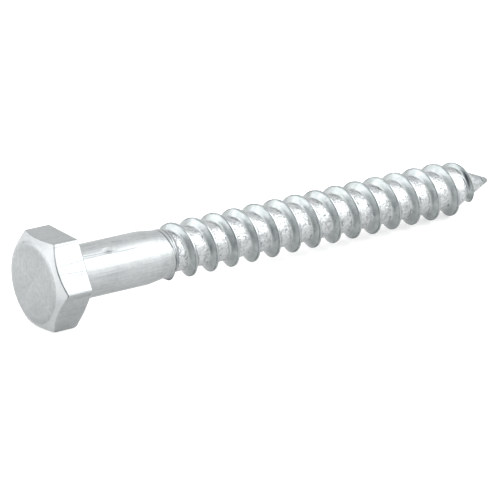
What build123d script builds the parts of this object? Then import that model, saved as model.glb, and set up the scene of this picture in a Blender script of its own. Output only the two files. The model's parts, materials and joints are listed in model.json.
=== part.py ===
"""Lag screw, M8 x 75: hex head, plain shank, one-start right-hand wood thread and a cone point.

Millimetres, +Z up. The screw lies at rest: one flat of the head is down, the underside edge of
that flat and the crest of the last full turn touch the floor, and +X runs along it to the tip.
It is drawn level first, with its axis on X and the head's outer face at x = 0, then laid down.
"""

import math
import os

from build123d import *

# --- driving dimensions: millimetres and degrees, places along the axis from under the head ------
thread_dia = 8.2            # over the crests
core_dia = 6.0              # between the turns
shank_dia = 7.75            # plain part under the head
across_flats = 13.0
head_height = 5.3
length_under_head = 74.8
pitch = 3.6
flank_angle = 60.0          # included angle of the ridge
crest_flat = 0.26           # width of its crest

face_disc_dia = 11.15       # flat left in the middle of the head's outer face
head_chamfer_angle = 33.0
corner_radius = 0.4         # six long edges of the head
underside_chamfer = 0.3     # edge round the underside
neck = 0.3                  # slope between the underside and the shank

shank_length = 12.5         # plain part, then the body draws in ...
taper_length = 3.7          # ... over this length, to
lip_dia = 6.9               # a rolled lip that runs square round the screw
lip_width = 0.4             # for this length,
step_length = 0.75          # and a step from it down to the core

ridge_starts = 16.3         # the ridge comes up through the lip here ...
early_dia = 8.0             # ... is this big over its crest
early_rise = 0.45           # after this length along the axis ...
ridge_rise = 4.2            # ... and full size after this one
crest_on_top = 15.04        # the crest crosses the top side here, and every pitch from here

point_angle = 45.0          # included angle of the cone
tip_dia = 0.6               # its blunt end,
tip_flat_dia = 0.25         # with the edge worn off to this
crest_falls = 7.4           # back from the tip, the crest starts to sink towards the cone ...
ridge_stops = 2.2           # ... and here it has gone
fall_power = 1.5            # above one: it falls faster and faster

# --- how finely the ridge is drawn ---------------------------------------------------------------
sink = 0.3                  # depth to which its foot is buried in the body
hidden = 0.1                # depth of its crest where it begins and ends
rail_steps = 8              # points along each turn of its edges
nudge = 0.01                # for the slope of an edge
foot_passes = 8

# --- what follows --------------------------------------------------------------------------------
crest_r = thread_dia / 2
core_r = core_dia / 2
shank_r = shank_dia / 2
half_flats = across_flats / 2
corner_r = half_flats / math.cos(math.radians(30))
disc_r = face_disc_dia / 2
chamfer_depth = (corner_r - disc_r) * math.tan(math.radians(head_chamfer_angle))
under = head_height
tip = under + length_under_head
taper_begin = under + shank_length
lip_begin = taper_begin + taper_length
lip_end = lip_begin + lip_width
core_begin = lip_end + step_length
lip_r = lip_dia / 2
half_point = math.radians(point_angle / 2)
blunt_r = tip_dia / 2
flat_r = tip_flat_dia / 2
cone_end = tip - (blunt_r - flat_r)
cone_begin = cone_end - (core_r - blunt_r) / math.tan(half_point)
ridge_begin = under + ridge_starts
ridge_early = ridge_begin + early_rise
ridge_full = ridge_begin + ridge_rise
fall_begin = tip - crest_falls
ridge_end = tip - ridge_stops
flank_run = math.tan(math.radians(flank_angle / 2))


def between(u, u_from, u_to, r_from, r_to):
    """Radius on a straight line from one place to another, and level outside it."""
    t = min(max((u - u_from) / (u_to - u_from), 0.0), 1.0)
    return r_from + (r_to - r_from) * t


def body_at(u):
    """Radius of the body without its ridge: shank, taper, lip, step, core and cone."""
    if u > cone_begin:
        return between(u, cone_begin, cone_end, core_r, blunt_r)
    if u > lip_end:
        return between(u, lip_end, core_begin, lip_r, core_r)
    return between(u, taper_begin, lip_begin, shank_r, lip_r)


def crest_at(u):
    """Radius of the crest: up through the lip, on to full size, down into the cone."""
    if u < ridge_early:
        return between(u, ridge_begin, ridge_early, body_at(ridge_begin) - hidden, early_dia / 2)
    if u < ridge_full:
        return between(u, ridge_early, ridge_full, early_dia / 2, crest_r)
    if u < fall_begin:
        return crest_r
    stop = body_at(ridge_end) - hidden
    return crest_r - (crest_r - stop) * ((u - fall_begin) / (ridge_end - fall_begin)) ** fall_power


def foot_at(u, side):
    """Where the flank on one side is buried in the body: its shift along the axis and radius."""
    run = crest_flat
    for _ in range(foot_passes):
        height = crest_at(u) - body_at(u + side * (crest_flat / 2 + run)) + sink
        run = max(height * flank_run, crest_flat / 4)
    return side * (crest_flat / 2 + run), crest_at(u) - run / flank_run


def on_helix(u, shift, radius):
    """Point beside the crest's middle at u, moved along the axis by shift."""
    turn = 2 * math.pi * (u - under - crest_on_top) / pitch + math.pi / 2
    return Vector(u + shift, radius * math.cos(turn), radius * math.sin(turn))


# --- the ridge: four long edges with skins ruled between them, made in lengths of about a turn ----
rails = [
    lambda u: on_helix(u, *foot_at(u, -1)),
    lambda u: on_helix(u, -crest_flat / 2, crest_at(u)),
    lambda u: on_helix(u, crest_flat / 2, crest_at(u)),
    lambda u: on_helix(u, *foot_at(u, 1)),
]


def rail_edge(rail, u_from, u_to):
    """One long edge as a smooth curve through points of the rail, with the rail's own slopes."""
    length = u_to - u_from
    shares = [i / rail_steps for i in range(rail_steps + 1)]
    slopes = [(rail(u + nudge) - rail(u - nudge)) * (length / (2 * nudge)) for u in (u_from, u_to)]
    return Edge.make_spline([rail(u_from + length * share) for share in shares],
                            tangents=slopes, parameters=shares, scale=False)


def ridge_length(u_from, u_to):
    """The ridge between two places as one closed solid."""
    edges = [rail_edge(rail, u_from, u_to) for rail in rails]
    skins = [Face.make_surface_from_curves(a, b) for a, b in zip(edges, edges[1:] + edges[:1])]
    for u in (u_from, u_to):
        foot, crest, crest_b, foot_b = [rail(u) for rail in rails]
        skins.append(Face.make_surface_from_curves(Edge.make_line(foot, crest),
                                                   Edge.make_line(foot_b, crest_b)))
    return Solid(Shell(skins))


turns = math.ceil((ridge_end - ridge_begin) / pitch)
cuts = [ridge_begin + (ridge_end - ridge_begin) * i / turns for i in range(turns + 1)]
ridge = [ridge_length(a, b) for a, b in zip(cuts, cuts[1:])]

# --- the screw, level ----------------------------------------------------------------------------
with BuildPart(mode=Mode.PRIVATE) as level:
    with BuildSketch(Plane.YZ):
        RegularPolygon(half_flats, 6, major_radius=False)
    extrude(amount=head_height)
    fillet(level.edges().filter_by(Axis.X), corner_radius)
    chamfer(level.faces().sort_by(Axis.X)[-1].edges(), underside_chamfer)
    with BuildSketch(Plane.XY):
        with BuildLine():
            Polyline((0, 0), (0, disc_r), (chamfer_depth, corner_r), (under, corner_r), (under, 0),
                     close=True)
        make_face()
    revolve(axis=Axis.X, mode=Mode.INTERSECT)
    with BuildSketch(Plane.XY):
        with BuildLine():
            Polyline((under / 2, 0), (under / 2, shank_r + neck), (under, shank_r + neck),
                     (under + neck, shank_r), (taper_begin, shank_r), (lip_begin, lip_r),
                     (lip_end, lip_r), (core_begin, core_r), (cone_begin, core_r),
                     (cone_end, blunt_r), (tip, flat_r), (tip, 0), close=True)
        make_face()
    revolve(axis=Axis.X)
    add(ridge)

# --- laid down: the angle at which the head's edge and the last full crest touch one floor --------
last_crest = under + crest_on_top + pitch / 2
last_crest += pitch * math.floor((fall_begin + crest_flat - last_crest) / pitch)
reach = last_crest + crest_flat / 2 - (under - underside_chamfer)
tilt = math.degrees(math.atan2(half_flats - crest_r, reach))
laid = Rotation(0, tilt, 0) * level.part
box = laid.bounding_box()
with BuildPart() as lag_screw:
    add(laid.moved(Location((-box.center().X, -box.center().Y, -box.min.Z))))
lag_screw.part.label = "lag_screw"
lag_screw.part.color = Color(0.76, 0.77, 0.78)

os.makedirs("parts", exist_ok=True)
export_step(lag_screw.part, "parts/lag_screw.step")
print(f"lag_screw: {lag_screw.part.bounding_box().size}, tilt {tilt:.3f} degrees, "
      f"volume {lag_screw.part.volume:.0f} mm3, valid {lag_screw.part.is_valid}, "
      f"head face at x {-box.center().X:.4f}, z {-box.min.Z:.4f}")
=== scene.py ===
# %% [markdown]
# # A lag screw, dressed
#
# A lag screw is one piece of steel: a forged hexagon head, a plain shank and a coarse wood thread
# that was rolled between dies and runs out on a cone point. Zinc plating gives it a bright, cool
# grey skin. The solid model has its sizes and its place; this lesson gives it its real surface.
#
# Everything is drawn first in millimetres, level, with the screw's axis on X and the head's outer
# face at x = 0. It is laid down in its place once, when the mesh is finished.

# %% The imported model
import json
import math

import bpy
from mathutils import Matrix, Vector


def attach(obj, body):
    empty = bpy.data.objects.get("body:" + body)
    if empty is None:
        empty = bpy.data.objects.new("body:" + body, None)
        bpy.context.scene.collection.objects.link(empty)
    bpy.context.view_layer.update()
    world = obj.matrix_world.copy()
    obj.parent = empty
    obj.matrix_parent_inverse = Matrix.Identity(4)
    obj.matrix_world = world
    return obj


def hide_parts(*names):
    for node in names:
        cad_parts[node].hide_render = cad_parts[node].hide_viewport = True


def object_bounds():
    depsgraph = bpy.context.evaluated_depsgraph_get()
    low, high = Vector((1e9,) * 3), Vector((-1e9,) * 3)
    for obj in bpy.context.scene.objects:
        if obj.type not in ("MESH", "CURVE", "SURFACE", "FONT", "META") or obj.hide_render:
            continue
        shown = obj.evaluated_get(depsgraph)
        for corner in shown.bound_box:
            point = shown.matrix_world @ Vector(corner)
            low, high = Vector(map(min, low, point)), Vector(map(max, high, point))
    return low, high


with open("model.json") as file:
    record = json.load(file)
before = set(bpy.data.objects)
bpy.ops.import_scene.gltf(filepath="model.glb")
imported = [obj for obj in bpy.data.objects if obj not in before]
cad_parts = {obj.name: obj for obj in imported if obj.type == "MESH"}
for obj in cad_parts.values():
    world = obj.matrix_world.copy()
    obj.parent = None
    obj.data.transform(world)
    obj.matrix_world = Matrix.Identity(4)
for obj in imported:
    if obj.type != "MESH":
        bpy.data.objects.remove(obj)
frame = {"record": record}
cad_low, cad_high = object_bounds()
print("solid model from", tuple(round(v, 5) for v in cad_low), "to", tuple(round(v, 5) for v in cad_high))

# %% [markdown]
# ## Where the screw lies
#
# The screw rests on the edge of its head and on the crest of its last full turn, so it leans a
# little. The record has a mounting point on the axis, about halfway along the plain shank, with
# the axis itself. The lean and the place of the head's outer face follow from those two.

# %% From the drawing to the place on the floor
MM = 0.001
head_height = 5.3
neck = 0.3
shank_length = 12.5
length_under_head = 74.8
mount_under_head = 6.5

mounts = {mount["name"]: mount for mount in frame["record"]["mounts"]}
shank_mount = mounts["shank"]
axis = Vector(shank_mount["axis"]).normalized()
mount_from_face = (head_height + mount_under_head) * MM
lean = math.atan2(-axis.z, axis.x)
face_centre = Vector(shank_mount["pos_m"]) - axis * mount_from_face
laid_down = Matrix.Translation(face_centre) @ Matrix.Rotation(lean, 4, "Y") @ Matrix.Scale(MM, 4)
print(f"the screw leans {math.degrees(lean):.3f} degrees, its face centre is at z {face_centre.z:.6f} m")

# %% [markdown]
# ## The camera
#
# A long lens far away keeps the head and the point at nearly the same scale. The camera looks down
# on the screw from the head's side, and its horizon is tipped by about a degree. It aims a little
# below the middle of the model's box and a little towards the head.

# %% Camera
box_centre = (Vector(cad_low) + Vector(cad_high)) / 2
aim_shift = Vector((-3.0, 0.3, -3.9))   # millimetres from the middle of the box
aim = box_centre + aim_shift * MM
camera_distance = 550.0 * MM
look_azimuth = math.radians(34.5)       # from +Y towards +X
look_down = math.radians(21.0)
horizon_tip = math.radians(1.3)

forward = Vector((math.sin(look_azimuth) * math.cos(look_down),
                  math.cos(look_azimuth) * math.cos(look_down), -math.sin(look_down)))
camera_data = bpy.data.cameras.new("camera")
camera_data.lens = 275
camera_data.sensor_width = 36
camera_data.clip_end = 100
camera = bpy.data.objects.new("camera", camera_data)
bpy.context.scene.collection.objects.link(camera)
turned = forward.to_track_quat("-Z", "Y").to_matrix().to_4x4() @ Matrix.Rotation(-horizon_tip, 4, "Z")
camera.matrix_world = Matrix.Translation(aim - forward * camera_distance) @ turned
bpy.context.scene.camera = camera
print("camera at", tuple(round(v, 4) for v in camera.location))

# %% [markdown]
# ## Arithmetic in node trees
#
# A thread is a formula: how far is this point from the crest, and how high is the crest here? Node
# trees can work that out, but a dozen Math nodes wired by hand are hard to read. `Term` wraps one
# output of a tree, so that ordinary arithmetic on it adds the Math nodes. It serves geometry trees
# and material trees alike, because both have the same Math node.

# %% Terms
class Term:
    """A number in a node tree; arithmetic on it adds Math nodes."""

    def __init__(self, tree, socket):
        self.tree = tree
        self.socket = socket

    def math(self, operation, *others):
        """Any operation of the Math node, with this term as its first input."""
        made = self.tree.nodes.new("ShaderNodeMath")
        made.operation = operation
        for given, term in zip(made.inputs, (self, *others)):
            put(self.tree, term, given)
        return Term(self.tree, made.outputs[0])

    def __add__(self, other):
        return self.math("ADD", other)

    def __sub__(self, other):
        return self.math("SUBTRACT", other)

    def __mul__(self, other):
        return self.math("MULTIPLY", other)

    def __truediv__(self, other):
        return self.math("DIVIDE", other)

    def __pow__(self, other):
        return self.math("POWER", other)

    def share(self, low, high):
        """0 below low, 1 above high, and even between them."""
        made = self.tree.nodes.new("ShaderNodeMapRange")
        for given, term in zip(made.inputs, (self, low, high, 0.0, 1.0)):
            put(self.tree, term, given)
        return Term(self.tree, made.outputs[0])

    def smooth_share(self, low, high):
        """The same with soft ends."""
        result = self.share(low, high)
        result.socket.node.interpolation_type = "SMOOTHSTEP"
        return result

    def rest(self):
        """1 less this term."""
        return self * -1.0 + 1.0


def put(tree, term, given):
    """Wires a term to an input, or sets the input to a plain number."""
    if isinstance(term, Term):
        tree.links.new(term.socket, given)
    else:
        given.default_value = term


def node(tree, kind, **inputs):
    """A new node, with its named inputs set or wired. Underscores stand for spaces."""
    made = tree.nodes.new(kind)
    for name, term in inputs.items():
        put(tree, term, made.inputs[name.replace("_", " ")])
    return made


# %% [markdown]
# ## Geometry: the shank, the thread and the point
#
# A helix has one trick: add the turn to the place along the axis, and the ridge stands still. So
# the tree starts from a flat grid. Across it runs the angle round the screw, and along it the
# *helical* place, in turns from a crest. On such a grid every row follows the thread, so a few
# closely set rows draw the narrow crest sharply along its whole length. A Screw modifier could
# sweep one profile into a thread too, but this ridge changes its height all the way.
#
# Each point then gets its radius: the body's own (shank, taper, rolled lip, core, cone) or the
# ridge's, whichever is larger, with a small fillet at the root as a rolled thread has. The ridge
# comes up through the lip within a fraction of a turn, and sinks into the cone before the tip.

# %% Sizes of the threaded body, in millimetres and radians
thread_sizes = {
    "Start": head_height + neck,
    "Shank radius": 3.875,
    "Taper begins": head_height + shank_length,
    "Taper length": 3.7,
    "Lip radius": 3.45,
    "Lip width": 0.4,
    "Bead height": 0.08,
    "Fold depth": 0.07,
    "Fold half width": 0.16,
    "Fold lean": 0.16,
    "Fold parting": 0.5,
    "Step length": 0.75,
    "Core radius": 3.0,
    "Crest radius": 4.1,
    "Pitch": 3.6,
    "Flank angle": math.radians(60),
    "Crest flat": 0.26,
    "Crest on top": head_height + 15.04,
    "Ridge begins": head_height + 16.3,
    "Early length": 0.45,
    "Early radius": 4.0,
    "Full length": 4.2,
    "Hidden depth": 0.1,
    "Tip": head_height + length_under_head,
    "Fall length": 7.4,
    "Run out": 2.2,
    "Fall power": 1.5,
    "Point angle": math.radians(45),
    "Point rounding": 0.15,
    "Blunt radius": 0.3,
    "Root fillet": 0.11,
    "Crest rounding": 0.05,
    "Crest wear at the point": 0.15,
    "Dent depth": 0.05,
    "Dents begin": 0.8,                 # from the crest, and so is the next
    "Dents in full": 1.2,
    "Rows gathered at crest": 0.62,
    "Rows per turn": 38,
    "Columns": 96,
}
columns = thread_sizes["Columns"]
pitch_length = thread_sizes["Pitch"]

# %% The tree
thread = bpy.data.node_groups.new("threaded_body", "GeometryNodeTree")
thread.interface.new_socket("Geometry", in_out="INPUT", socket_type="NodeSocketGeometry")
for label, value in thread_sizes.items():
    kind = "NodeSocketInt" if isinstance(value, int) else "NodeSocketFloat"
    thread.interface.new_socket(label, in_out="INPUT", socket_type=kind)
thread.interface.new_socket("Material", in_out="INPUT", socket_type="NodeSocketMaterial")
thread.interface.new_socket("Geometry", in_out="OUTPUT", socket_type="NodeSocketGeometry")
sizes_in = thread.nodes.new("NodeGroupInput")
size = {label: Term(thread, sizes_in.outputs[label]) for label in thread_sizes}
print("the thread's tree has", len(thread_sizes), "named sizes")

# %% The grid, in turns along it and round it
pitch = size["Pitch"]
crest_at_zero = size["Crest on top"] - pitch * 0.25      # the top is a quarter turn from +Y
first_turn = ((size["Start"] - crest_at_zero) / pitch - 1.0).math("FLOOR")
last_turn = ((size["Tip"] - crest_at_zero) / pitch).math("CEIL") + 1.0
turns = last_turn - first_turn
grid = node(thread, "GeometryNodeMeshGrid", Size_X=turns, Size_Y=1.0,
            Vertices_X=turns * size["Rows per turn"] + 1.0, Vertices_Y=size["Columns"] + 1.0)
place = node(thread, "ShaderNodeSeparateXYZ")
thread.links.new(thread.nodes.new("GeometryNodeInputPosition").outputs[0], place.inputs[0])
# The grid lies with its middle at 0, so half of its size is added each way.
turn_along = Term(thread, place.outputs["X"]) + turns * 0.5 + first_turn
turn_round = Term(thread, place.outputs["Y"]) + 0.5
print("the grid has", columns, "columns and", thread_sizes["Rows per turn"], "rows in each turn")

# %% Where each point is along the axis, and how far from the crest
full_turn = 2 * math.pi
gather = size["Rows gathered at crest"]
warped = turn_along - (turn_along * full_turn).math("SINE") * gather * (1 / full_turn)
along_free = (warped + turn_round) * pitch + crest_at_zero
along = along_free.math("MAXIMUM", size["Start"]).math("MINIMUM", size["Tip"])
from_crest = ((warped - (warped + 0.5).math("FLOOR")) * pitch).math("ABSOLUTE")
angle = turn_round * full_turn
height_round = angle.math("SINE")
print("places on the grid take", len(thread.nodes), "nodes")

# %% [markdown]
# The rolled lip is where the dies stopped. They pushed the steel up into a small bead and folded it
# over in two lines, which run close together under the screw and part over its top. The finish
# darkens the same two lines later, so one function gives their place to both trees.

# %% The folds of the lip
folds_part_at = -0.15                   # height on the screw, as a share of its radius
fold_gap = 0.1                          # millimetres between them below that


def lip_folds(height, lip_edge, fold_lean, parting):
    """Where the two folds cross a line along the screw that is this high on it."""
    outer = height * fold_lean * -1.0 + lip_edge
    inner = outer - (height - folds_part_at).math("MAXIMUM", 0.0) * parting - fold_gap
    return inner, outer


print("the folds are", fold_gap, "mm apart under the screw, and wider over its top")

# %% The radius of the body
taper_end = size["Taper begins"] + size["Taper length"]
# The taper is halfway between a straight one and one with soft ends.
taper = (along.share(size["Taper begins"], taper_end)
         + along.smooth_share(size["Taper begins"], taper_end)) * 0.5
lip_end = taper_end + size["Lip width"]
bead = (along.smooth_share(taper_end - size["Lip width"], taper_end)
        * along.smooth_share(taper_end, lip_end).rest() * size["Bead height"])
core_begins = lip_end + size["Step length"]
step = along.smooth_share(lip_end, core_begins)
fold = 0.0
for fold_place in lip_folds(height_round, lip_end, size["Fold lean"], size["Fold parting"]):
    beside_fold = (along - fold_place).math("ABSOLUTE")
    fold = beside_fold.smooth_share(0.0, size["Fold half width"]).rest() * size["Fold depth"] + fold
half_point = (size["Point angle"] * 0.5).math("TANGENT")
cone = (along - size["Tip"]) * -1.0 * half_point + size["Blunt radius"]
straight = (size["Shank radius"] - (size["Shank radius"] - size["Lip radius"]) * taper
            - (size["Lip radius"] - size["Core radius"]) * step + bead - fold)
body = straight.math("SMOOTH_MIN", cone, size["Point rounding"])
print("with the body's radius the tree has", len(thread.nodes), "nodes")

# %% The radius of the crest along the way, and of the ridge beside it
rise_begins = size["Ridge begins"]
early = rise_begins + size["Early length"]
fall_begins = size["Tip"] - size["Fall length"]
hidden = size["Lip radius"] - size["Hidden depth"]       # the crest's radius while the lip covers it
rise = along.share(rise_begins, early)
filling = along.share(early, rise_begins + size["Full length"])
fall = ((along - fall_begins) / (size["Fall length"] - size["Run out"])).math("MAXIMUM", 0.0)
gone = size["Run out"] * half_point + size["Blunt radius"] - size["Hidden depth"]    # under the cone
crest = (hidden + (size["Early radius"] - hidden) * rise
         + (size["Crest radius"] - size["Early radius"]) * filling
         - (size["Crest radius"] - gone) * fall ** size["Fall power"])
flank_slope = (size["Flank angle"] * 0.5).math("TANGENT")
below = (from_crest - size["Crest flat"] * 0.5) / flank_slope
rounding = fall.math("MINIMUM", 1.0) * size["Crest wear at the point"] + size["Crest rounding"]
ridge = crest - below.math("SMOOTH_MAX", 0.0, rounding)
even_radius = body.math("SMOOTH_MAX", ridge, size["Root fillet"])
print("with the ridge the tree has", len(thread.nodes), "nodes")

# %% [markdown]
# Rolling dies leave shallow dents on the lands between the turns. A noise read at the point's own
# place lowers the surface there, and only ever lowers it, so that the skin stays inside the solid's
# size. Because it is read in space and not on the grid, it meets itself at the seam.

# %% Dents from the dies
dent_scale = 0.9                        # dents for each millimetre
dent_fade = (0.48, 0.68)                # values of the noise where a dent begins and is deepest


def place_at(distance):
    """Where each point is when it stands this far from the axis."""
    made = node(thread, "ShaderNodeCombineXYZ", X=along, Y=distance * angle.math("COSINE"),
                Z=distance * angle.math("SINE"))
    return made.outputs[0]


die_marks = node(thread, "ShaderNodeTexNoise", Scale=dent_scale, Detail=2.0)
thread.links.new(place_at(even_radius), die_marks.inputs["Vector"])
on_land = (from_crest.smooth_share(size["Dents begin"], size["Dents in full"])
           * along.smooth_share(lip_end, core_begins))
dent = Term(thread, die_marks.outputs[0]).smooth_share(*dent_fade) * on_land * size["Dent depth"]
radius = even_radius - dent
print("dents are up to", thread_sizes["Dent depth"], "mm deep")

# %% [markdown]
# The tip is worn to a small round end, so the radius closes over it like a dome. Rows that run
# past the tip are gathered on the axis, and rows that would start before the shank are gathered on
# its first ring, where the head's last ring waits for them. Merge by Distance joins all of them
# and the seam along the grid's two long edges, so the finished mesh has no open edge.

# %% The dome at the tip, and the place of each point
past_tip = along_free - size["Tip"]
dome = (past_tip * -1.0 / size["Blunt radius"]).math("MAXIMUM", 0.0).math("MINIMUM", 1.0)
dome = (dome * (dome * -1.0 + 2.0)).math("SQRT")
moved = place_at(radius * dome)
print("the tip closes in a dome of", thread_sizes["Blunt radius"], "mm")

# %% [markdown]
# The tree also stores two attributes for the finish: the place along the axis, and the distance
# from the crest. They are stored while the grid is still flat. A field is worked out where it is
# used, and once the points have moved, Position gives their new places and both values are wrong.
# Rolled up this way round, the grid's upper side comes out inside, so its faces are flipped.

# %% What the finish needs to know, and then the move
flat_grid = grid.outputs["Mesh"]
for name, term in {"along": along, "from_crest": from_crest}.items():
    keeper = node(thread, "GeometryNodeStoreNamedAttribute", Name=name, Value=term)
    thread.links.new(flat_grid, keeper.inputs["Geometry"])
    flat_grid = keeper.outputs["Geometry"]
shaped = node(thread, "GeometryNodeSetPosition")
thread.links.new(flat_grid, shaped.inputs["Geometry"])
thread.links.new(moved, shaped.inputs["Position"])
outwards = thread.nodes.new("GeometryNodeFlipFaces")
thread.links.new(shaped.outputs["Geometry"], outwards.inputs[0])

# %% Joined to the head, merged and given its finish
merge_reach = 0.002                     # far less than the space between two neighbouring points
joined = thread.nodes.new("GeometryNodeJoinGeometry")
thread.links.new(outwards.outputs[0], joined.inputs[0])
thread.links.new(sizes_in.outputs["Geometry"], joined.inputs[0])
merged = node(thread, "GeometryNodeMergeByDistance", Distance=merge_reach)
thread.links.new(joined.outputs[0], merged.inputs["Geometry"])
smooth = thread.nodes.new("GeometryNodeSetShadeSmooth")
thread.links.new(merged.outputs[0], smooth.inputs["Geometry"])
realized = thread.nodes.new("GeometryNodeRealizeInstances")
thread.links.new(smooth.outputs[0], realized.inputs[0])
finished = thread.nodes.new("GeometryNodeSetMaterial")
thread.links.new(realized.outputs[0], finished.inputs["Geometry"])
thread.links.new(sizes_in.outputs["Material"], finished.inputs["Material"])
out = thread.nodes.new("NodeGroupOutput")
thread.links.new(finished.outputs[0], out.inputs["Geometry"])
print("the tree has", len(thread.nodes), "nodes")

# %% [markdown]
# ## Geometry: the hexagon head
#
# The head was forged in a die and trimmed, so its edges are soft and its outer face is turned down
# to a disc by a cone of about 33 degrees. Where the cone meets a flat it leaves the arc that bolt
# heads show. The mesh is a set of rings: each ring follows the same rounded hexagon outline,
# column by column, down a profile that goes over the disc, down the cone, over its edge, along the
# flat, round the underside and in to the neck. A prism cut by a cone would be quicker to make, but
# rings with as many columns as the shank can meet it point to point. One lower corner is rounder
# than the others, because the steel didn't quite fill the die there.
#
# The head has the same two attributes as the thread, and two of its own: which points are on the
# cone, and which are on the cone's edge. Once the two are joined, those are 0 on the thread.

# %% Sizes of the head, in millimetres
half_flats = 6.5
corner_radius = 0.4
disc_radius = 5.575
chamfer_slope = math.tan(math.radians(33))
disc_rounding = 0.5
chamfer_rounding = 0.2
underside_rounding = 0.35
soft_corner = math.radians(240)         # the rounder corner, from +Y over the top
soft_corner_rounding = 1.0
soft_corner_spread = math.radians(16)
neck_radius = thread_sizes["Shank radius"] + neck
print("the head is", 2 * half_flats, "mm across its flats and", head_height, "mm high")

# %% The outline: six rounded corners and six flats
flat_shares = (0.02, 0.1, 0.25, 0.4, 0.5, 0.6, 0.75, 0.9, 0.98)


def corner_point(degrees):
    """A point of the rounded corner at +Y, where the outline faces this far from +Y."""
    corner_centre = (half_flats - corner_radius) / math.cos(math.radians(30))
    turn = math.radians(degrees)
    return Vector((corner_centre + corner_radius * math.cos(turn), corner_radius * math.sin(turn)))


def outline():
    """Points round the rounded hexagon, as (angle, radius), the first on the corner at +Y."""
    next_corner = Matrix.Rotation(math.radians(60), 2)
    flat_begins = corner_point(30)
    flat_ends = next_corner @ corner_point(-30)
    side = [corner_point(degrees) for degrees in (0, 10, 20, 30)]
    side += [flat_begins.lerp(flat_ends, share) for share in flat_shares]
    side += [next_corner @ corner_point(degrees) for degrees in (-30, -20, -10)]
    points = [Matrix.Rotation(math.radians(60 * i), 2) @ point for i in range(6) for point in side]
    return [(math.atan2(p.y, p.x) % full_turn, p.length) for p in points]


head_outline = outline()
print(len(head_outline), "columns in the head,", columns, "in the shank")

# %% A line with its corners rounded
corner_steps = 5
corner_points = corner_steps + 3        # the curve's own points, and one on each leg beside it
beside_curve = 0.06                     # how far those two stand from the curve
leg_share = 0.45                        # the most of a leg that one curve may take


def rounded(corners):
    """A line through corners given as (x, radius, rounding), each turned in a short curve."""
    line = []
    for before, corner, after in zip(corners, corners[1:], corners[2:]):
        middle = Vector(corner[:2])
        back = Vector(before[:2]) - middle
        ahead = Vector(after[:2]) - middle
        reach = min(corner[2], back.length * leg_share, ahead.length * leg_share)
        start = middle + back.normalized() * reach
        end = middle + ahead.normalized() * reach
        line.append(start + (start - middle).normalized() * beside_curve)
        for i in range(corner_steps + 1):
            share = i / corner_steps
            line.append(start.lerp(middle, share).lerp(middle.lerp(end, share), share))
        line.append(end + (end - middle).normalized() * beside_curve)
    return line


print("each rounded corner takes", corner_points, "points")

# %% The profile of one column
disc_shares = (0.3, 0.6, 0.85)          # rings across the disc
bearing_shares = (0.5, 1.0)             # and across the flat underside
neck_steps = 4


def head_profile(turn, radius):
    """From the disc to the neck, for a column of the outline."""
    softness = math.exp(-((turn - soft_corner) / soft_corner_spread) ** 2)
    under = underside_rounding + (soft_corner_rounding - underside_rounding) * softness
    cone_edge = (radius - disc_radius) * chamfer_slope
    curves = rounded([(0, 0, 0), (0, disc_radius, disc_rounding), (cone_edge, radius, chamfer_rounding),
                      (head_height, radius, under), (head_height, neck_radius, 0)])
    bearing = curves[-1].y
    line = [Vector((0, disc_radius * share)) for share in disc_shares] + curves
    line += [Vector((head_height, bearing + (neck_radius - bearing) * share)) for share in bearing_shares]
    for i in range(1, neck_steps + 1):
        bend = math.radians(90 * i / neck_steps)
        x = head_height + neck * (1 - math.cos(bend))
        line.append(Vector((x, neck_radius - neck * math.sin(bend))))
    return line


profiles = [head_profile(turn, radius) for turn, radius in head_outline]
rings = len(profiles[0])
print("the head has", rings, "rings")

# %% Rings that the mesh and the finish have to know
neck_ring = rings - 1 - neck_steps                      # where the neck begins
cone_begins = len(disc_shares) + corner_points - 2      # the end of the curve over the disc's edge
edge_begins = len(disc_shares) + corner_points + corner_points // 2 - 1
cone_rings = range(cone_begins, edge_begins)
edge_rings = range(edge_begins, edge_begins + 2)        # the middle of the curve over the cone's edge
print("the cone has", len(cone_rings), "rings and its edge", len(edge_rings))


# %% The head's mesh
def head_points():
    """The middle of the disc, then ring by ring. From the neck on, the columns are evenly spaced."""
    points = [(0.0, 0.0, 0.0)]
    for ring in range(rings):
        for column, (turn, _) in enumerate(head_outline):
            here = full_turn * column / columns if ring >= neck_ring else turn
            x, radius = profiles[column][ring]
            points.append((x, radius * math.cos(here), radius * math.sin(here)))
    return points


def head_mesh():
    """Rings of the head, closed at the middle of its disc and open at the neck."""
    points = head_points()
    faces = [(0, 1 + (c + 1) % columns, 1 + c) for c in range(columns)]
    for ring in range(rings - 1):
        for c in range(columns):
            a, b = 1 + ring * columns + c, 1 + ring * columns + (c + 1) % columns
            faces.append((a, b, b + columns, a + columns))
    mesh = bpy.data.meshes.new("head")
    mesh.from_pydata(points, [], faces)
    on_edge = [0.0] + [float(ring in edge_rings) for ring in range(rings) for _ in range(columns)]
    on_cone = [0.0] + [float(ring in cone_rings) for ring in range(rings) for _ in range(columns)]
    far_from_crest = [pitch_length] * len(points)
    kept = {"along": [p[0] for p in points], "from_crest": far_from_crest,
            "cone_edge": on_edge, "cone": on_cone}
    for name, values in kept.items():
        mesh.attributes.new(name, "FLOAT", "POINT").data.foreach_set("value", values)
    return mesh


screw = bpy.data.objects.new("head_blank", head_mesh())
bpy.context.scene.collection.objects.link(screw)
print("the head has", len(screw.data.polygons), "faces")
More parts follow.
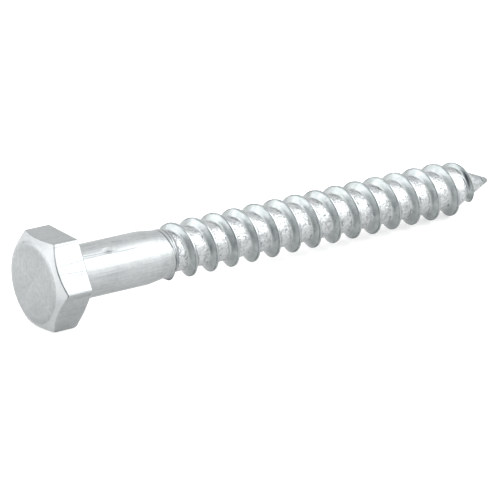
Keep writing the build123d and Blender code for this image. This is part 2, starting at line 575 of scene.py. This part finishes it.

# %% [markdown]
# ## The finish: bright zinc
#
# Zinc plating is a few thousandths of a millimetre thick, so it hides nothing of the steel below.
# Each zone of the screw keeps the marks of how it was made: the head is darker and mottled from the
# forging die, the shank has fine lines along it from drawn wire, and the lands are pale and dimpled
# by the rolling dies. The flanks are darker than the lands and a little green: plating is thin in a
# groove, and their darker tone is also painted shade from the neighbouring turn. One material does
# it all, because it is one coat: the four stored attributes say which zone a point is in, and noise on
# Object coordinates gives the marks. A Mapping node turns those coordinates back to the drawing's
# millimetres, so a pattern can be stretched along the axis.

# %% Places on the screw, for the finish
zinc = bpy.data.materials.new("zinc_plate")
zinc.use_nodes = True
coat = zinc.node_tree
skin = coat.nodes["Principled BSDF"]
coordinates = coat.nodes.new("ShaderNodeTexCoord")
drawing = coat.nodes.new("ShaderNodeMapping")
back_turn = Matrix.Rotation(-lean, 3, "Y")
drawing.inputs["Scale"].default_value = (1 / MM, 1 / MM, 1 / MM)
drawing.inputs["Rotation"].default_value = (0, -lean, 0)
drawing.inputs["Location"].default_value = -(back_turn @ face_centre) / MM
coat.links.new(coordinates.outputs["Object"], drawing.inputs["Vector"])


def stored_value(name):
    """An attribute of the mesh, as a term."""
    reader = coat.nodes.new("ShaderNodeAttribute")
    reader.attribute_name = name
    return Term(coat, reader.outputs["Fac"])


place_along = stored_value("along")
crest_distance = stored_value("from_crest")
print("the coat is placed by", tuple(round(v, 3) for v in drawing.inputs["Location"].default_value), "mm")

# %% The angle round the screw: 0 at +Y, and a quarter turn at the top
across = coat.nodes.new("ShaderNodeSeparateXYZ")
coat.links.new(drawing.outputs[0], across.inputs[0])
# Both are turned over and half a turn is added, so the angle runs from 0 to a whole turn.
minus_z = Term(coat, across.outputs["Z"]) * -1.0
minus_y = Term(coat, across.outputs["Y"]) * -1.0
turn_of_point = minus_z.math("ARCTAN2", minus_y) + math.pi
height_of_point = turn_of_point.math("SINE")
print("places on the coat take", len(coat.nodes), "nodes")


# %% Helpers for marks
def marks(scale, detail=3.0, stretch=(1, 1, 1)):
    """Noise from 0 to 1. The scale is in marks for each millimetre, less along a stretched axis."""
    stretched = coat.nodes.new("ShaderNodeMapping")
    stretched.inputs["Scale"].default_value = stretch
    coat.links.new(drawing.outputs[0], stretched.inputs["Vector"])
    noise = node(coat, "ShaderNodeTexNoise", Scale=scale, Detail=detail)
    coat.links.new(stretched.outputs[0], noise.inputs["Vector"])
    return Term(coat, noise.outputs[0])


def about_zero(noise):
    """The same noise from -0.5 to 0.5, for what is now more and now less."""
    return noise - 0.5


def patches(scale, low, high, detail=1.0):
    """Soft patches where a noise is high: 0 below one value of the noise, and 1 above the other."""
    return marks(scale, detail).smooth_share(low, high)


def near(term, middle, reach):
    """1 where a term has this value, down to 0 at this reach from it."""
    return ((term - middle).math("ABSOLUTE") / -reach + 1.0).math("MAXIMUM", 0.0)


def lines_in(noise, width):
    """Thin lines where a noise passes its middle value: 1 on the line, 0 beside it."""
    return near(noise, 0.5, width)


def without(*zones):
    """1 less each of the zones."""
    left = zones[0].rest()
    for zone in zones[1:]:
        left = left - zone
    return left


def blend(base, *parts):
    """A base value and more terms, each added with its own strength."""
    for term, strength in parts:
        base = term * strength + base
    return base


# %% Where the zones fade into each other, in millimetres
lip_place = head_height + shank_length + thread_sizes["Taper length"]
tip_place = thread_sizes["Tip"]
disc_fade = (0.02, 0.3)                 # places along the axis, and so are the next two
thread_fade = (lip_place + 0.3, lip_place + 1.0)
point_fade = (tip_place - 6.0, tip_place - 4.5)
ridge_half_width = 0.85                 # from the middle of the crest to the foot of a flank
land_fade = (ridge_half_width - 0.15, ridge_half_width + 0.15)
crest_fade = (0.08, 0.14)               # from the middle of the crest, and so is the next
crest_edge = 0.17
crest_edge_width = 0.08
print("the zones of the thread begin at", round(thread_fade[0], 2), "mm, those of the point at",
      round(point_fade[0], 2), "mm")

# %% The zones
head_zone = without(place_along.smooth_share(head_height, head_height + neck))
disc_zone = without(place_along.smooth_share(*disc_fade))
cone_zone = stored_value("cone")
flats_zone = (head_zone - disc_zone - cone_zone).math("MAXIMUM", 0.0)
thread_zone = place_along.smooth_share(*thread_fade)
shank_zone = without(head_zone, thread_zone)
land_zone = crest_distance.smooth_share(*land_fade) * thread_zone
crest_zone = without(crest_distance.smooth_share(*crest_fade)) * thread_zone
crest_edges = near(crest_distance, crest_edge, crest_edge_width) * thread_zone
flank_zone = thread_zone - land_zone - crest_zone
point_zone = place_along.smooth_share(*point_fade)
die_zone = land_zone * without(point_zone)
print("with its zones the coat has", len(coat.nodes), "nodes")

# %% [markdown]
# ### The marks
#
# Most marks on rolled steel are thin lines, and a noise gives them where it passes its middle value:
# with an even noise they close into small rings, as on the lands, and with one that is stretched
# along the axis they run straight, as the lines that drawing and trimming leave. Dimples, specks
# and worn spots are the opposite, patches where a noise is high.
#
# A few marks are this screw's own, and have a place, given by their distance along the axis and
# their angle round it: two long drag lines and a nick on the shank, and the two folds of the lip.
# Three more are placed the same way and are painted light and shade: a painted dark reflection along
# a stretch of the cone's edge, a painted highlight on one side of the cone, and a painted dark streak
# on the last turn.

# %% Marks on the whole screw
clouds = marks(0.3)
grain = marks(7.0, detail=4.0)
print("clouds and grain bring the coat to", len(coat.nodes), "nodes")

# %% Marks on the head
dark_edge_fade_in = (math.radians(118), math.radians(175))
dark_edge_fade_out = (math.radians(179), math.radians(184))
cone_highlight_middle = math.radians(150)
cone_highlight_reach = math.radians(42)

trim_lines = lines_in(marks(0.5, detail=1.0, stretch=(0.05, 1, 1)), width=0.012) * flats_zone
mottled_zone = blend(head_zone, (flats_zone, -0.35), (shank_zone, 0.7))
mottling = about_zero(marks(1.8, detail=5.0)) * mottled_zone
# Painted shade: a stretch of the cone's rounded edge beside the flat at about 150 degrees is darkened, a
# painted dark reflection.
dark_edge_stretch = turn_of_point.smooth_share(*dark_edge_fade_in)
dark_edge_stretch = dark_edge_stretch * without(turn_of_point.smooth_share(*dark_edge_fade_out))
painted_dark_edge = stored_value("cone_edge") * dark_edge_stretch
# A painted highlight: the cone is made paler on one side, about 150 degrees round the head.
painted_cone_highlight = cone_zone * near(turn_of_point, cone_highlight_middle, cone_highlight_reach)
print("with the head's marks it has", len(coat.nodes))

# %% Marks on the shank
rings_begin = head_height + shank_length - 1.5          # a little before the taper

draw_lines = marks(5.0, detail=3.0, stretch=(0.04, 1, 1))
deep_lines = lines_in(marks(0.7, detail=2.0, stretch=(0.04, 1, 1)), width=0.02) * shank_zone
taper_rings = marks(3.0, detail=2.0, stretch=(1, 0.06, 0.06)) * shank_zone
taper_rings = taper_rings * place_along.smooth_share(rings_begin, lip_place)
print("with the lines and rings of the shank it has", len(coat.nodes))

# %% Drag lines and a nick, each in its place
drags = ((132, 11.5), (127, 8.0))       # degrees round the shank, millimetres from the head to its end
drag_fade = 2.0
drag_width = 0.17
nick_from_head = 5.7
nick_turn = 124
nick_size = 0.6
nick_squeeze = 0.7                      # under 1, so the nick is longer along the shank than round it


def round_shank(degrees):
    """How far a point is from this angle, in millimetres round the shank."""
    return (turn_of_point - math.radians(degrees)) * thread_sizes["Shank radius"]


most_wander = 0.25                      # millimetres to each side
wander = about_zero(marks(0.3, detail=1.0)) * (2 * most_wander)
drag_lines = 0.0
for degrees, ends in drags:
    fade = place_along.smooth_share(head_height + ends - drag_fade, head_height + ends)
    line = near(round_shank(degrees) + wander, 0.0, drag_width)
    drag_lines = line * (without(fade) * shank_zone) + drag_lines
nick_along = (place_along - (head_height + nick_from_head)) * nick_squeeze
nick_round = round_shank(nick_turn)
nick_distance = (nick_along * nick_along + nick_round * nick_round).math("SQRT")
nick = near(nick_distance, 0.0, nick_size) * shank_zone
print(len(drags), "drag lines and a nick bring it to", len(coat.nodes))

# %% The folds of the lip
inner_width = 0.13
outer_width = 0.14
inner_line, outer_line = lip_folds(height_of_point, lip_place + thread_sizes["Lip width"],
                                   thread_sizes["Fold lean"], thread_sizes["Fold parting"])
both_lines = near(place_along, inner_line, inner_width) + near(place_along, outer_line, outer_width)
fold_lines = both_lines * patches(0.8, low=0.3, high=0.55)
print("with the folds it has", len(coat.nodes))

# %% Marks on the lands, the flanks and the point
root_line = 1.0                         # from the middle of the crest
root_width = 0.16
painted_streak_from_crest = 0.42                   # from there too
painted_streak_width = 0.26
painted_streak_from_tip = 5.7
painted_streak_length = 0.34

curls = lines_in(marks(1.5, detail=0.5), width=0.09) * patches(1.0, low=0.3, high=0.6) * die_zone
dimples = patches(2.4, low=0.48, high=0.66) * die_zone
specks = patches(2.8, low=0.64, high=0.7) * blend(die_zone, (flank_zone, 0.4))
worn_edges = crest_edges * patches(0.6, low=0.42, high=0.62, detail=2.0)
root_shade = near(crest_distance, root_line, root_width) * patches(0.7, low=0.42, high=0.62, detail=2.0)
root_shade = root_shade * thread_zone
# A painted dark reflection: a streak on the flank of the last turn is darkened nearly to black.
painted_streak = near(crest_distance, painted_streak_from_crest, painted_streak_width)
painted_streak = painted_streak * near(place_along, tip_place - painted_streak_from_tip, painted_streak_length)
point_streaks = about_zero(marks(1.6, detail=2.0, stretch=(0.35, 1, 1))) * point_zone
flank_clouds = about_zero(marks(0.9, detail=4.0)) * flank_zone
print("with all its marks it has", len(coat.nodes))

# %% [markdown]
# ### Colour, roughness and relief
#
# One number, the tone, says how pale the plating is at each point, and in a few marks it holds
# painted light and shade. Each zone has its own share of it, and each mark adds to it or takes from
# it. The colour then goes from a dark grey with a little green in it, where the plating is thin, to a
# pale and slightly blue grey. The flanks get a green tint, and the painted dark streak on the last
# turn, a painted dark reflection, is nearly black.
#
# Roughness is added up in the same way: the crests are the smoothest, as they rub on everything,
# and the cone is the dullest. The relief is less than a tenth of a millimetre deep: it breaks up
# the reflections and leaves the outline alone.

# %% Tone: 0 for thin and dark plating, 1 for thick and pale
# The flanks' low share here is partly painted shade from the neighbouring turn.
tone = blend(0.0,
             (head_zone, 0.42), (disc_zone, 0.08), (cone_zone, 0.36), (shank_zone, 0.59),
             (land_zone, 0.84), (flank_zone, 0.6), (crest_zone, 0.45), (point_zone, -0.34),
             (about_zero(clouds), 0.25), (about_zero(grain), 0.3),
             (about_zero(draw_lines) * shank_zone, 0.4), (flank_clouds, 0.9),
             (trim_lines, -0.2), (mottling, 0.45), (painted_dark_edge, -0.6),
             (deep_lines, -0.1), (taper_rings, -0.2), (painted_cone_highlight, 0.55),
             (curls, -0.4), (specks, -0.4), (crest_edges, -0.35), (worn_edges, -0.8),
             (drag_lines, -0.3), (nick, -0.25), (fold_lines, -0.8), (root_shade, -0.55),
             (painted_streak, -1.2), (point_streaks, 1.4))
print("the tone brings the coat to", len(coat.nodes), "nodes")

# %% Colour
thin_plating = (0.112, 0.127, 0.13, 1)
thick_plating = (0.462, 0.474, 0.48, 1)
groove_tint = (0.21, 0.245, 0.24, 1)
groove_cover = 0.3
# The colour of the painted dark streak on the last turn.
painted_streak_colour = (0.03, 0.035, 0.045, 1)
painted_streak_cover = 1.2


def mixed(factor, first, second):
    """A colour between two others. Each is a plain colour or the output of another mix."""
    mix = coat.nodes.new("ShaderNodeMix")
    mix.data_type = "RGBA"
    put(coat, factor, mix.inputs["Factor"])
    for given, socket in zip((first, second), [s for s in mix.inputs if s.type == "RGBA"]):
        if isinstance(given, tuple):
            socket.default_value = given
        else:
            coat.links.new(given, socket)
    return next(socket for socket in mix.outputs if socket.type == "RGBA")


plating = mixed(tone, thin_plating, thick_plating)
# The flanks' darker green: partly thin plating in the groove, partly painted shade from the neighbouring
# turn.
plating = mixed(flank_zone * groove_cover, plating, groove_tint)
plating = mixed(painted_streak * painted_streak_cover, plating, painted_streak_colour)
coat.links.new(plating, skin.inputs["Base Color"])
print("the colour goes from", thin_plating[:3], "to", thick_plating[:3])

# %% Metal, and how rough it is
smoothest = 0.17
skin.inputs["Metallic"].default_value = 1.0
roughness = blend(clouds * 0.12 + grain * 0.08 + smoothest,
                  (head_zone, 0.11), (shank_zone, 0.18), (land_zone, 0.17), (flank_zone, 0.05),
                  (cone_zone, 0.3), (mottling, 0.15))
put(coat, roughness, skin.inputs["Roughness"])
print("with its roughness the coat has", len(coat.nodes), "nodes")

# %% Relief, in steps of a fiftieth of a millimetre
relief_step = 0.02 * MM
height = blend(grain * blend(0.2, (head_zone, 0.4)),
               (draw_lines * shank_zone, 0.6), (deep_lines, -0.2), (taper_rings, -1.5),
               (dimples, -1.6), (curls, -1.0), (specks, -0.9), (mottling, 1.0),
               (trim_lines, -0.5), (drag_lines, -0.8), (nick, -4.0),
               (flank_clouds, 4.0), (point_streaks, 3.0))
relief = node(coat, "ShaderNodeBump", Strength=1.0, Distance=relief_step, Height=height)
coat.links.new(relief.outputs[0], skin.inputs["Normal"])
print("the zinc has", len(coat.nodes), "nodes")

# %% [markdown]
# ## From the tree to a plain mesh
#
# A finished part is best as a plain mesh, which any program can read. The modifier gets its sizes
# by each socket's identifier, the evaluated result is kept as a mesh, and the screw is then laid
# down, with its place in the mesh and its object left at the origin. It takes the solid's place.

# %% Bake
modifier = screw.modifiers.new("threaded_body", "NODES")
modifier.node_group = thread
for item in thread.interface.items_tree:
    if item.in_out == "INPUT" and item.name in thread_sizes:
        modifier[item.identifier] = thread_sizes[item.name]
    if item.in_out == "INPUT" and item.name == "Material":
        modifier[item.identifier] = zinc
bpy.context.view_layer.update()
whole = bpy.data.meshes.new_from_object(screw.evaluated_get(bpy.context.evaluated_depsgraph_get()))
bpy.data.objects.remove(screw)
whole.transform(laid_down)
lag = bpy.data.objects.new("lag_screw_skin", whole)
bpy.context.scene.collection.objects.link(lag)
print("the finished mesh has", len(whole.polygons), "faces,", len(whole.vertices), "vertices")

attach(lag, "root")
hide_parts("lag_screw")

# %% [markdown]
# ## The floor
#
# A sheet of pale paper, far wider than the screw, so that no edge of it is ever reflected. Bare
# metal shows what is around it, and a pale floor is half of that. A part of its brightness is its
# own, as on a light table: that keeps the shadow faint, and it lights the screw from below.

# %% Floor
floor_half = 2.0                        # metres
paper_grey = (0.5, 0.5, 0.5, 1)
paper_glow = 0.55
floor_corners = [(-floor_half, -floor_half), (floor_half, -floor_half), (floor_half, floor_half),
                 (-floor_half, floor_half)]
floor_mesh = bpy.data.meshes.new("floor")
floor_mesh.from_pydata([(x, y, cad_low.z) for x, y in floor_corners], [], [(0, 1, 2, 3)])
paper = bpy.data.materials.new("pale_paper")
paper.use_nodes = True
paper_surface = paper.node_tree.nodes["Principled BSDF"]
paper_surface.inputs["Base Color"].default_value = paper_grey
paper_surface.inputs["Roughness"].default_value = 0.9
paper_surface.inputs["Emission Color"].default_value = (1, 1, 1, 1)
paper_surface.inputs["Emission Strength"].default_value = paper_glow
floor_mesh.materials.append(paper)
floor = bpy.data.objects.new("floor", floor_mesh)
bpy.context.scene.collection.objects.link(floor)
print("floor", 2 * floor_half, "m wide at z", cad_low.z)

# %% [markdown]
# ## The light
#
# Bare metal has hardly any colour of its own: each face shows whatever stands where it reflects.
# So the studio is planned by asking what each face sees. The disc and the lower flats see the
# floor. The top of the head and of the shank see the back of the tent. The flat that faces the
# camera from above sees a place to the right, and the sides of the thread that face the head see
# one to the left. A white tent with one large softbox in each of those two places is enough: the
# right one is the key and draws the bright band along the shank.

# %% The white tent
tent_strength = 1.5
bpy.context.scene.view_settings.view_transform = "Standard"
tent = bpy.data.worlds.new("white_tent")
tent.use_nodes = True
tent.node_tree.nodes["Background"].inputs["Color"].default_value = (1, 1, 1, 1)
tent.node_tree.nodes["Background"].inputs["Strength"].default_value = tent_strength
bpy.context.scene.world = tent
print("the tent is white all round, at strength", tent_strength)

# %% Softboxes
light_distance = 0.7                    # metres
camera_turn = camera.matrix_world.to_3x3()


def softbox(name, watts, width, right, up, toward):
    """A square soft light that faces the screw, placed as seen from the camera."""
    way = (camera_turn @ Vector((right, up, toward))).normalized()
    data = bpy.data.lights.new(name, "AREA")
    data.shape = "SQUARE"
    data.size = width
    data.energy = watts
    light = bpy.data.objects.new(name, data)
    light.location = box_centre + way * light_distance
    light.rotation_euler = (-way).to_track_quat("-Z", "Y").to_euler()
    bpy.context.scene.collection.objects.link(light)
    print(name, "at", tuple(round(v, 3) for v in light.location))


softbox("key", watts=6.2, width=0.7, right=0.8, up=0.55, toward=0.25)
softbox("left_box", watts=5.0, width=0.9, right=-0.9, up=0.35, toward=0.3)
